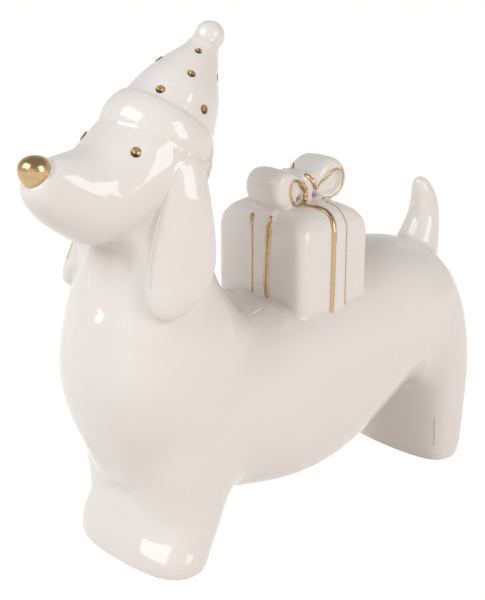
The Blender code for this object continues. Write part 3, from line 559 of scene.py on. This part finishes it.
# Two touches on the far side stand up as fat drops
RAISED = {"eye_right": 0.0011, "hat_dot_09": 0.0009}
# Dark brown golds, painted as the dark reflection in the dimples
DARK_REFLECTION_GOLD = (0.52, 0.36, 0.18, 1)
DARKEST_REFLECTION_GOLD = (0.24, 0.15, 0.07, 1)
dark_reflection_lustre, nodes, links, shader = new_material("gold_lustre_painted_dark_reflection")
place = nodes.new("ShaderNodeTexCoord")
tint = blend_colours(nodes, links, cloud(nodes, links, place, 1400, 3), DARK_REFLECTION_GOLD, DARKEST_REFLECTION_GOLD)
links.new(tint, shader.inputs["Base Color"])
shader.inputs["Metallic"].default_value = 1.0
links.new(spread(nodes, links, cloud(nodes, links, place, 1800, 2), 0.20, 0.42), shader.inputs["Roughness"])
relief(nodes, links, cloud(nodes, links, place, 2600, 2), 0.00003, shader.inputs["Normal"])


def gild(piece, *nodes, gilding):
    piece.data.materials.clear()
    piece.data.materials.append(gilding)
    if nodes:
        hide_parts(*nodes)
    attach(piece, "root")


for name, (place, outward, radius) in spots.items():
    under = ware["head" if name in EYES else "hat_cone"]
    middles = rows(under.data.polygons, "center", 3)
    facing = rows(under.data.polygons, "normal", 3) @ np.array(outward)
    in_dimple = np.linalg.norm(middles - np.array(place), axis=1) < FILLED * radius
    select_faces(under, in_dimple & (facing > UPWARD))
    bpy.ops.mesh.duplicate()
    bpy.ops.mesh.separate(type="SELECTED")
    bpy.ops.object.mode_set(mode="OBJECT")
    touch = [piece for piece in bpy.context.selected_objects if piece != under][0]
    touch.name = touch.data.name = name + "_gilt"
    points = rows(touch.data.vertices, "co", 3)
    if name in RAISED:
        apart = np.linalg.norm(points - np.array(place), axis=1) / radius
        points += np.outer(RAISED[name] * np.sqrt(np.clip(1 - apart ** 2, 0, 1)), np.array(outward))
    set_points(touch.data, points + FILM * np.array(outward))
    film = touch.modifiers.new("film", "SOLIDIFY")
    film.thickness = 2 * FILM
    film.offset = -1
    apply_all(touch)
    bpy.ops.object.shade_smooth()
    gild(touch, name, gilding=dark_reflection_lustre)

# The nose. A knob of clay, wide above and pinched narrower below, set into the tip of the muzzle and gilded all over
# with bright gold lustre.
NOSE_RADIUS = 0.0049
NOSE_PINCH = 0.18
NOSE_TALL = 1.04
NOSE_SHIFT = (0.0003, -0.0002, -0.0005)
BRIGHT_GOLD = (0.74, 0.54, 0.29, 1)
DEEP_GOLD = (0.50, 0.33, 0.16, 1)
lustre, nodes, links, shader = new_material("gold_lustre")
place = nodes.new("ShaderNodeTexCoord")
tint = blend_colours(nodes, links, cloud(nodes, links, place, 700, 3), BRIGHT_GOLD, DEEP_GOLD)
links.new(tint, shader.inputs["Base Color"])
shader.inputs["Metallic"].default_value = 1.0
links.new(spread(nodes, links, cloud(nodes, links, place, 900, 2), 0.14, 0.30), shader.inputs["Roughness"])
relief(nodes, links, cloud(nodes, links, place, 1500, 2), 0.00002, shader.inputs["Normal"])
bpy.ops.object.select_all(action="DESELECT")
bpy.ops.mesh.primitive_uv_sphere_add(segments=64, ring_count=32, radius=NOSE_RADIUS)
nose = bpy.context.object
nose.name = nose.data.name = "nose_knob"
bpy.ops.object.shade_smooth()
points = rows(nose.data.vertices, "co", 3)
rise = points[:, 2:] / NOSE_RADIUS
points[:, :2] *= 1 + NOSE_PINCH * rise
points[:, 2] *= NOSE_TALL
set_points(nose.data, points + nose_middle + np.array(NOSE_SHIFT))
gild(nose, "nose", gilding=lustre)

# The gold lines. The ribbons and the bow are edged in the same lustre with a liner brush, one pull of the brush for
# each line: fat where the brush is set down and lifted off, thin and unsteady between.
BRISTLES = 6
STEP = 0.00045
PAINT = 0.00008
BEAD = 0.15
# How often the hand shakes and drifts in a metre, and how much of the unsteadiness each takes
SHAKES, SHAKEN = 1800, 1.6
DRIFTS, DRIFTED = 500, 0.25
EVENED_ROUNDS = 4


def stroke(name, path, widths, unsteady, seed, gilding=lustre, bead=BEAD):
    """A strip laid along a path of points in millimetres, pressed on to the glaze and given the paint's thickness.

    Its widths, also in millimetres, are evenly spread along it."""
    path = np.array(path, dtype=np.float64) / 1000
    lengths = np.concatenate(([0], np.cumsum(np.linalg.norm(np.diff(path, axis=0), axis=1))))
    count = max(int(lengths[-1] / STEP), 8)
    along = np.linspace(0, lengths[-1], count + 1)
    line = np.stack([np.interp(along, lengths, path[:, axis]) for axis in range(3)], axis=1)
    outwards = np.array([glazed.find_nearest(Vector(point))[1] for point in line])
    for _ in range(EVENED_ROUNDS):
        for values in (line, outwards):
            values[1:-1] = 0.25 * values[:-2] + 0.5 * values[1:-1] + 0.25 * values[2:]
    across = np.cross(np.gradient(line, axis=0), outwards)
    across /= np.linalg.norm(across, axis=1)[:, None]
    wide = np.interp(along / lengths[-1], np.linspace(0, 1, len(widths)), widths) / 1000
    shake = np.array([noise.noise(Vector((SHAKES * place, seed, 0.0))) for place in along])
    drift = np.array([noise.noise(Vector((DRIFTS * place, seed, 9.0))) for place in along])
    wide *= 1 + unsteady * SHAKEN * shake
    line += across * (DRIFTED * unsteady * drift * wide)[:, None]
    to_end = np.minimum(along, lengths[-1] - along)
    wide *= np.sqrt(np.clip(1 - (1 - np.minimum(to_end / (0.5 * wide), 1)) ** 2, 0.01, 1))
    bpy.ops.object.select_all(action="DESELECT")
    bpy.ops.mesh.primitive_grid_add(x_subdivisions=BRISTLES, y_subdivisions=count, size=1)
    strip = bpy.context.object
    strip.name = strip.data.name = name
    flat = rows(strip.data.vertices, "co", 3)
    station = np.rint((flat[:, 1] + 0.5) * count).astype(int)
    set_points(strip.data, line[station] + across[station] * (flat[:, 0] * wide[station])[:, None])
    press = strip.modifiers.new("press", "SHRINKWRAP")
    press.target = glaze_form
    press.wrap_method = "NEAREST_SURFACEPOINT"
    press.wrap_mode = "ABOVE_SURFACE"
    press.offset = FILM
    apply_all(strip)
    round_over = bead * wide[station] * (1 - (2 * flat[:, 0]) ** 2)
    set_points(strip.data, rows(strip.data.vertices, "co", 3) + outwards[station] * round_over[:, None])
    select_faces(strip, np.ones(len(strip.data.polygons), dtype=bool))
    bpy.ops.mesh.normals_make_consistent(inside=False)
    bpy.ops.object.mode_set(mode="OBJECT")
    face = strip.data.polygons[len(strip.data.polygons) // 2]
    if face.normal.dot(glazed.find_nearest(face.center)[1]) < 0:
        strip.data.flip_normals()
    paint = strip.modifiers.new("paint", "SOLIDIFY")
    paint.thickness = PAINT
    paint.offset = 1
    apply_all(strip)
    bpy.ops.object.shade_smooth()
    gild(strip, gilding=gilding)


def other_side(path):
    return [(-x, y, z) for x, y, z in path]


glazed = BVHTree.FromObject(glaze_form, bpy.context.evaluated_depsgraph_get())
stroke("line_front_right_edge", [
    (-4.9, 1.8, 103.7), (-4.0, 1.1, 102.6), (-3.1, 0.2, 101.2), (-2.3, -0.7, 98.8), (-2.2, -0.8, 95.4),
    (-2.1, -0.8, 90.2), (-2.1, -0.8, 85.0), (-2.2, -0.8, 80.4), (-2.0, -1.0, 77.3),
], (1.7, 2.0, 1.4, 1.2, 1.1, 1.2, 1.4), 0.15, 1.0)
stroke("line_front_left_edge", [
    (4.5, 1.5, 104.6), (5.1, 0.7, 103.1), (5.5, -0.1, 101.0), (5.5, -0.5, 98.3), (5.3, -0.7, 95.2),
    (5.1, -0.7, 92.8), (5.0, -0.8, 89.3), (4.9, -0.8, 86.6), (4.6, -0.8, 83.7), (4.7, -0.8, 81.3),
    (4.9, -0.8, 78.9), (5.6, -1.1, 77.1),
], (1.2, 1.9, 2.3, 1.6, 1.3, 1.5, 1.7, 1.8, 1.9), 0.3, 2.0)
bold = [
    (5.9, 13.0, 106.9), (7.5, 13.7, 106.9), (10.3, 13.7, 106.9), (12.8, 14.1, 107.0), (15.1, 14.6, 106.8),
    (17.4, 15.0, 105.9), (19.5, 15.0, 103.9), (20.8, 14.5, 100.7), (21.1, 14.2, 94.0), (21.1, 14.2, 87.1),
    (21.1, 14.1, 80.2), (21.0, 14.0, 75.0), (21.4, 13.6, 72.4),
]
thin_line = [
    (9.5, 22.0, 106.9), (12.0, 21.8, 106.8), (14.5, 21.4, 106.4), (16.8, 21.0, 105.8), (19.0, 20.7, 103.9),
    (20.6, 20.4, 101.2), (21.3, 20.0, 96.4), (21.3, 20.0, 89.4), (21.3, 20.0, 82.5), (21.3, 20.0, 73.7),
]
for side, turned_to in (("left", list), ("right", other_side)):
    stroke("line_fore_" + side, turned_to(bold), (1.1, 1.7, 2.0, 1.8, 1.6, 1.6, 1.7, 1.6, 1.5), 0.12, 3.0)
    stroke("line_aft_" + side, turned_to(thin_line), (0.4, 0.45, 0.6, 0.55, 0.5, 0.55, 0.5), 0.15, 4.0)
fore_mouth = [
    (7.8, 8.0, 115.9), (7.8, 7.3, 113.9), (7.8, 7.1, 112.0), (7.8, 7.6, 109.5), (7.2, 9.4, 107.2),
    (6.8, 11.7, 106.8), (6.8, 14.0, 107.0), (6.0, 16.0, 108.1), (6.1, 16.3, 109.8), (6.2, 15.6, 112.0),
    (7.2, 13.9, 113.8), (6.8, 12.4, 114.6), (6.9, 10.5, 115.5), (7.8, 8.0, 115.9),
]
aft_mouth = [
    (6.2, 20.0, 110.9), (5.9, 22.8, 112.5), (5.8, 25.7, 113.7), (6.0, 28.4, 115.4), (7.2, 29.6, 116.6),
    (7.6, 31.5, 116.4), (7.7, 32.5, 114.3), (7.7, 32.3, 111.9), (7.6, 31.3, 109.6), (7.6, 29.4, 108.2),
    (7.2, 26.5, 107.2), (6.5, 23.3, 107.0),
]
vee = [(4.9, 16.1, 116.3), (5.8, 17.1, 115.6), (6.2, 18.7, 114.2), (6.6, 19.5, 112.8), (6.2, 20.1, 110.9)]
smear = [(6.3, 12.5, 113.9), (7.0, 13.6, 113.1), (6.0, 16.1, 111.2), (6.0, 16.1, 109.5), (5.7, 15.5, 108.1)]
for side, turned_to in (("left", list), ("right", other_side)):
    stroke("line_fore_loop_" + side, turned_to(fore_mouth), (0.8, 1.1, 1.0, 1.2, 1.5, 1.5, 1.2, 1.1, 0.8), 0.3, 5.0)
    stroke("line_aft_loop_" + side, turned_to(aft_mouth), (0.8, 0.9, 1.0, 0.9, 0.8, 0.8, 0.7, 0.7, 0.5), 0.25, 6.0)
    stroke("line_knot_aft_" + side, turned_to(vee), (1.2, 1.7, 1.6, 1.3, 0.9), 0.3, 7.0)
    stroke("line_knot_fore_" + side, turned_to(smear), (1.2, 2.0, 1.7, 1.5, 1.0), 0.4, 8.0)
rim = [(-2.3, 17.1, 116.4), (-3.6, 18.6, 117.0), (-4.9, 20.4, 117.3), (-6.1, 22.1, 117.4)]
stroke("line_aft_rim", rim, (0.4, 0.6, 0.5), 0.2, 9.0)

# The glaze ridges. Where the running glaze stopped it stands up in thin rounded ridges of the same clear glaze: before
# the gift, along its foot, on the hind shins and down the front edges of the ears.
RIDGE_BEAD = 0.4
RIDGES = (
    ("run_before_box", (0.3, 0.8, 1.0, 0.7, 0.3), [
        (11.8, -15.7, 75.8), (10.8, -13.0, 75.5), (9.9, -10.4, 75.5), (9.2, -7.5, 75.7), (8.3, -5.3, 76.0),
    ]),
    ("run_along_box", (0.3, 0.5, 0.5, 0.6, 0.3), [
        (9.0, -2.8, 76.3), (12.4, -2.8, 75.8), (15.2, -2.3, 75.0), (17.4, -1.3, 74.3), (19.2, -0.2, 73.4),
    ]),
    ("run_hind_shin", (0.5, 0.8, 0.9, 0.8, 0.5), [
        (20.6, 71.4, 17.8), (20.7, 71.5, 15.0), (20.8, 71.5, 12.2), (21.0, 71.5, 9.4), (20.8, 71.3, 6.5),
    ]),
    ("run_ear", (0.3, 0.5, 0.7, 0.7, 0.6, 0.5, 0.4, 0.3), [
        (18.9, -53.2, 124.8), (18.7, -54.2, 122.0), (18.0, -55.5, 119.1), (17.6, -56.6, 116.1),
        (17.9, -57.6, 113.4), (18.2, -58.6, 110.6), (18.5, -59.7, 107.8), (18.9, -60.7, 105.0),
        (19.5, -61.6, 102.3), (20.2, -62.3, 99.5), (20.9, -62.9, 96.8),
    ]),
)
for side, turned_to in (("left", list), ("right", other_side)):
    for name, widths, path in RIDGES:
        stroke(name + "_" + side, turned_to(path), widths, 0.15, 10.0, gilding=glaze, bead=RIDGE_BEAD)
bpy.data.objects.remove(glaze_form)

# The camera. It looks from the dog's left front and a little above it, through a long lens, and the figure fills
# most of the picture's height.
AZIMUTH, ELEVATION = math.radians(47.56), math.radians(18.3)
AIM = Vector((0.0, -0.00706, 0.0763))
DISTANCE = 0.4664
back = Vector((math.sin(AZIMUTH) * math.cos(ELEVATION), -math.cos(AZIMUTH) * math.cos(ELEVATION), math.sin(ELEVATION)))
camera_data = bpy.data.cameras.new("camera")
camera_data.lens = 84.0
camera_data.sensor_width = 36.0
camera_data.clip_start = 0.01
camera = bpy.data.objects.new("camera", camera_data)
bpy.context.scene.collection.objects.link(camera)
camera.location = AIM + back * DISTANCE
camera.rotation_euler = (-back).to_track_quat("-Z", "Y").to_euler()
bpy.context.scene.camera = camera

# The floor. A wide sheet of white paper, which the camera and the reflections see as plain white, while the figure's
# shadow stays on it.
PAPER_WIDTH = 8.0
UNDER_SOLES = -0.0001
PAPER_WHITE = (0.82, 0.77, 0.73, 1)
PAPER_GLOW = 1.12
GLOW_SHARE = 0.85
bpy.ops.object.select_all(action="DESELECT")
bpy.ops.mesh.primitive_plane_add(size=PAPER_WIDTH, location=(0, 0, UNDER_SOLES))
floor = bpy.context.object
floor.name = "paper_floor"
paper, nodes, links, shader = new_material("white_paper")
shader.inputs["Base Color"].default_value = PAPER_WHITE
shader.inputs["Roughness"].default_value = 0.9
shader.inputs["Specular IOR Level"].default_value = 0.0
rays = nodes.new("ShaderNodeLightPath")
glow = nodes.new("ShaderNodeEmission")
glow.inputs["Color"].default_value = (1, 1, 1, 1)
glow.inputs["Strength"].default_value = PAPER_GLOW
seen = rays.outputs["Is Camera Ray"]
for other in ("Is Glossy Ray", "Is Transmission Ray"):
    either = nodes.new("ShaderNodeMath")
    either.operation = "MAXIMUM"
    links.new(seen, either.inputs[0])
    links.new(rays.outputs[other], either.inputs[1])
    seen = either.outputs[0]
share = nodes.new("ShaderNodeMath")
share.operation = "MULTIPLY"
share.inputs[1].default_value = GLOW_SHARE
links.new(seen, share.inputs[0])
mix = nodes.new("ShaderNodeMixShader")
links.new(share.outputs[0], mix.inputs[0])
links.new(shader.outputs[0], mix.inputs[1])
links.new(glow.outputs[0], mix.inputs[2])
links.new(mix.outputs[0], nodes["Material Output"].inputs["Surface"])
floor.data.materials.append(paper)

# The light. Two softboxes, one to the right and a cooler one at the upper left, give the highlights. A big dim panel
# behind the camera fills the shadow under the chin, and the warm room is brightest round the horizon.
COOL_WHITE = (0.90, 0.96, 1.0)
ROOM_WHITE = (1.0, 0.965, 0.935, 1)
HORIZON, OVERHEAD = 0.70, 0.30
LOW_SKY, HIGH_SKY = 0.1, 0.8


def softbox(name, towards, distance, width, height, power):
    direction = Vector(towards).normalized()
    data = bpy.data.lights.new(name, "AREA")
    data.shape = "RECTANGLE"
    data.size, data.size_y = width, height
    data.energy = power
    lamp = bpy.data.objects.new(name, data)
    bpy.context.scene.collection.objects.link(lamp)
    lamp.location = AIM + direction * distance
    lamp.rotation_euler = (-direction).to_track_quat("-Z", "Y").to_euler()
    return lamp


# Direction from the aim, then distance, width and height in metres, and power in watts
softbox("right_box", (0.897, 0.174, 0.407), 1.0, 0.425, 0.65, 3.4)
softbox("left_box", (-0.183, -0.732, 0.656), 1.0, 0.73, 0.50, 5.2).data.color = COOL_WHITE
softbox("front_panel", (0.50, -0.86, 0.14), 1.4, 1.4, 0.9, 1.15)
world = bpy.data.worlds.new("studio")
bpy.context.scene.world = world
world.use_nodes = True
nodes, links = world.node_tree.nodes, world.node_tree.links
sky = nodes["Background"]
sky.inputs["Color"].default_value = ROOM_WHITE
place = nodes.new("ShaderNodeTexCoord")
axes = nodes.new("ShaderNodeSeparateXYZ")
links.new(place.outputs["Generated"], axes.inputs[0])
fall = nodes.new("ShaderNodeMapRange")
fall.interpolation_type = "SMOOTHSTEP"
fall.inputs["From Min"].default_value = LOW_SKY
fall.inputs["From Max"].default_value = HIGH_SKY
fall.inputs["To Min"].default_value = HORIZON
fall.inputs["To Max"].default_value = OVERHEAD
links.new(axes.outputs["Z"], fall.inputs["Value"])
links.new(fall.outputs["Result"], sky.inputs["Strength"])
bpy.context.scene.view_settings.view_transform = "Standard"
